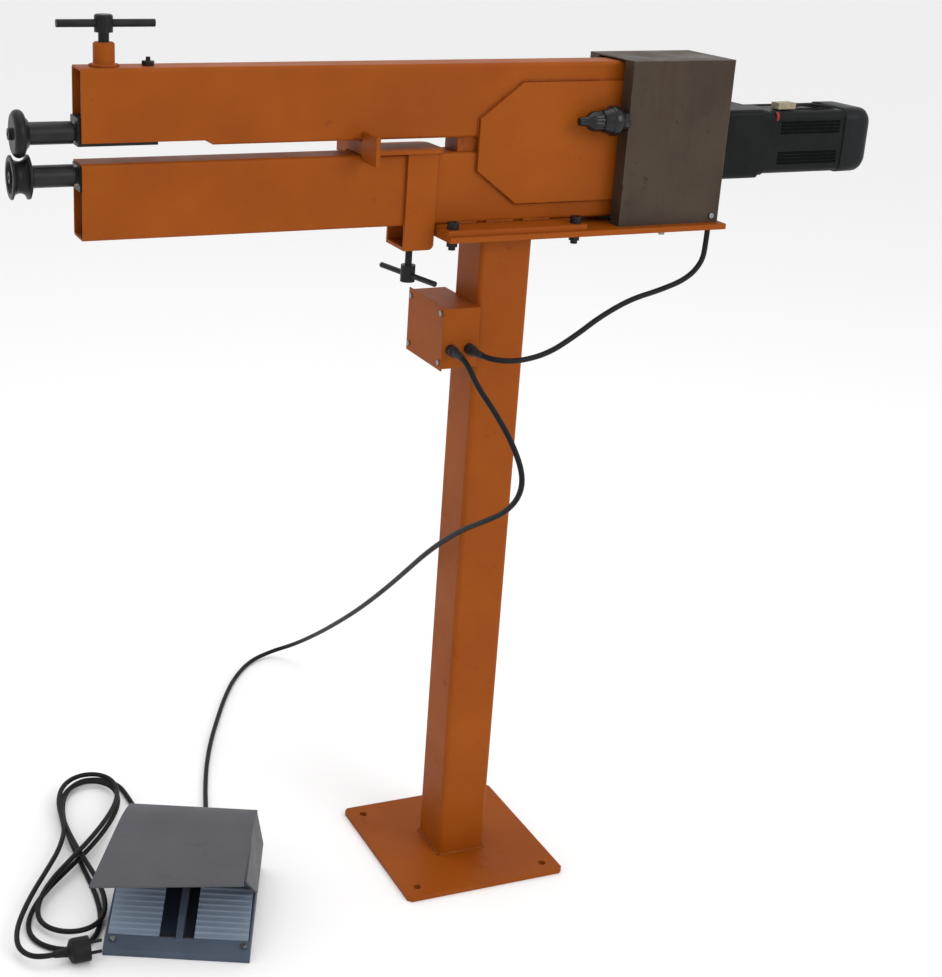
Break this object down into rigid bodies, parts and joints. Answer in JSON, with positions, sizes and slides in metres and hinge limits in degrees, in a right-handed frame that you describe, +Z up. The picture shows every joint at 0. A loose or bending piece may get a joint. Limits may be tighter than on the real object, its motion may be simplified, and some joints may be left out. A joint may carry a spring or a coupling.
{
  "type": "motorised bead roller",
  "caption": "Pedestal bead roller with two long box-section arms, paired rolls driven by a gearmotor, a screw-down upper roll, a sliding work guide and a twin foot pedal.",
  "frame": {"origin": "centre of the four floor bolts, on the underside of the floor plate", "axes": "+Z up the column; +X along the arms from the rolls towards the gearmotor, so -X is out past the rolls; -Y is the operator's side"},
  "size_m": [1.344, 0.9595, 1.324],
  "materials": {
    "orange": "worn gloss paint",
    "black_steel": "black oxide, oiled",
    "shaft_steel": "ground",
    "bronze": "sintered",
    "bare_sheet": "bare sheet with stains",
    "zinc_screw": "zinc plated",
    "motor_black": "painted satin black",
    "cowl_black": "moulded black",
    "connector_cream": "cream plastic",
    "selector_black": "moulded black",
    "gland_black": "moulded black",
    "pedal_grey": "grey paint",
    "pedal_blue_grey": "grey painted casting",
    "cord_black": "black rubber sheath",
    "plug_black": "moulded rubber"
  },
  "bodies": {
    "stand": {"column": "orange", "base_plate": "orange", "stand_top_plate": "orange", "machine_foot_plate": "orange", "foot_plate_bolts": "black_steel", "lower_arm": "orange", "upper_arm": "orange", "near_gusset": "orange", "far_gusset": "orange", "throat_spacer": "black_steel", "rear_bearing_plate": "shaft_steel", "rear_bearings": "bronze", "lower_bearing_block": "black_steel", "lower_front_bush": "bronze", "screw_boss": "orange", "spring_anchor_bolt": "black_steel", "motor_mount_plate": "shaft_steel", "gearbox_housing": "motor_black", "motor_body": "motor_black", "fan_cowl": "cowl_black", "motor_connector": "connector_cream", "gear_cover": "bare_sheet", "selector_body": "selector_black", "sheet_screws": "zinc_screw", "control_box_body": "orange", "control_box_lid": "orange", "cable_glands": "gland_black", "pedal_base": "pedal_blue_grey", "pedal_hinge_pin": "shaft_steel", "pedal_screws": "zinc_screw", "pedal_glands": "gland_black", "pedal_hood": "pedal_grey", "motor_cable": "cord_black", "pedal_cable": "cord_black", "mains_cable": "cord_black", "mains_hank": "cord_black", "mains_plug": "plug_black"},
    "pressure_pad": {"pressure_pad": "black_steel"},
    "pressure_screw": {"pressure_screw": "black_steel", "tommy_bar": "black_steel"},
    "upper_swing": {"upper_bearing_block": "black_steel", "upper_front_bush": "bronze"},
    "lower_spindle": {"lower_shaft": "shaft_steel", "lower_roll": "black_steel", "lower_roll_screw": "black_steel", "lower_gear": "shaft_steel", "shaft_coupling": "shaft_steel", "gearbox_output_shaft": "shaft_steel"},
    "upper_spindle": {"upper_shaft": "shaft_steel", "upper_roll": "black_steel", "upper_roll_screw": "black_steel", "upper_gear": "shaft_steel"},
    "guide": {"guide_strap": "orange", "guide_fence": "orange"},
    "guide_clamp_pad": {"guide_clamp_pad": "black_steel"},
    "guide_clamp_screw": {"guide_clamp_screw": "black_steel", "guide_clamp_bar": "black_steel"},
    "selector_knob": {"selector_knob": "selector_black"},
    "left_treadle": {"left_treadle": "pedal_blue_grey"},
    "right_treadle": {"right_treadle": "pedal_blue_grey"}
  },
  "joints": [
    {"name": "pad_slide", "type": "slide", "parent": "stand", "child": "pressure_pad", "axis": [0, 0, 1], "range_m": [-0.003, 0.01]},
    {"name": "pressure_screw_turn", "type": "hinge", "parent": "pressure_pad", "child": "pressure_screw", "pos_m": [-0.574, 0, 1.3], "axis": [0, 0, 1], "range_deg": [-541, 1801]},
    {"name": "upper_swing", "type": "hinge", "parent": "stand", "child": "upper_swing", "pos_m": [0.182, 0, 1.1775], "axis": [0, 1, 0], "range_deg": [-0.24, 0.77]},
    {"name": "lower_spin", "type": "hinge", "parent": "stand", "child": "lower_spindle", "pos_m": [-0.6, 0, 1.1225], "axis": [1, 0, 0], "continuous": true},
    {"name": "upper_spin", "type": "hinge", "parent": "upper_swing", "child": "upper_spindle", "pos_m": [-0.6, 0, 1.1775], "axis": [1, 0, 0], "continuous": true},
    {"name": "guide_slide", "type": "slide", "parent": "stand", "child": "guide", "axis": [1, 0, 0], "range_m": [-0.26, 0.003]},
    {"name": "guide_clamp_slide", "type": "slide", "parent": "guide", "child": "guide_clamp_pad", "axis": [0, 0, 1], "range_m": [-0.012, 0]},
    {"name": "guide_clamp_turn", "type": "hinge", "parent": "guide_clamp_pad", "child": "guide_clamp_screw", "pos_m": [-0.1345, 0, 0.98], "axis": [0, 0, 1], "range_deg": [-2881, 1]},
    {"name": "selector_turn", "type": "hinge", "parent": "stand", "child": "selector_knob", "pos_m": [0.1, -0.053, 1.182], "axis": [1, 0, 0], "range_deg": [-45, 45]},
    {"name": "left_treadle_press", "type": "hinge", "parent": "stand", "child": "left_treadle", "pos_m": [-0.56625, -0.10276, 0.015], "axis": [-0.9205, 0.3907, 0], "range_deg": [0, 6], "stiffness_Nm_per_rad": 8, "springref_deg": -6.88},
    {"name": "right_treadle_press", "type": "hinge", "parent": "stand", "child": "right_treadle", "pos_m": [-0.44474, -0.15433, 0.015], "axis": [-0.9205, 0.3907, 0], "range_deg": [0, 6], "stiffness_Nm_per_rad": 8, "springref_deg": -6.88}
  ],
  "couplings": [
    {"joint": "pressure_screw_turn", "follows": "pad_slide", "rad_per_m": 3141.6},
    {"joint": "upper_swing", "follows": "pad_slide", "rad_per_m": 1.3228},
    {"joint": "upper_spin", "follows": "lower_spin", "ratio": -1},
    {"joint": "guide_clamp_turn", "follows": "guide_clamp_slide", "rad_per_m": 4188.8}
  ]
}
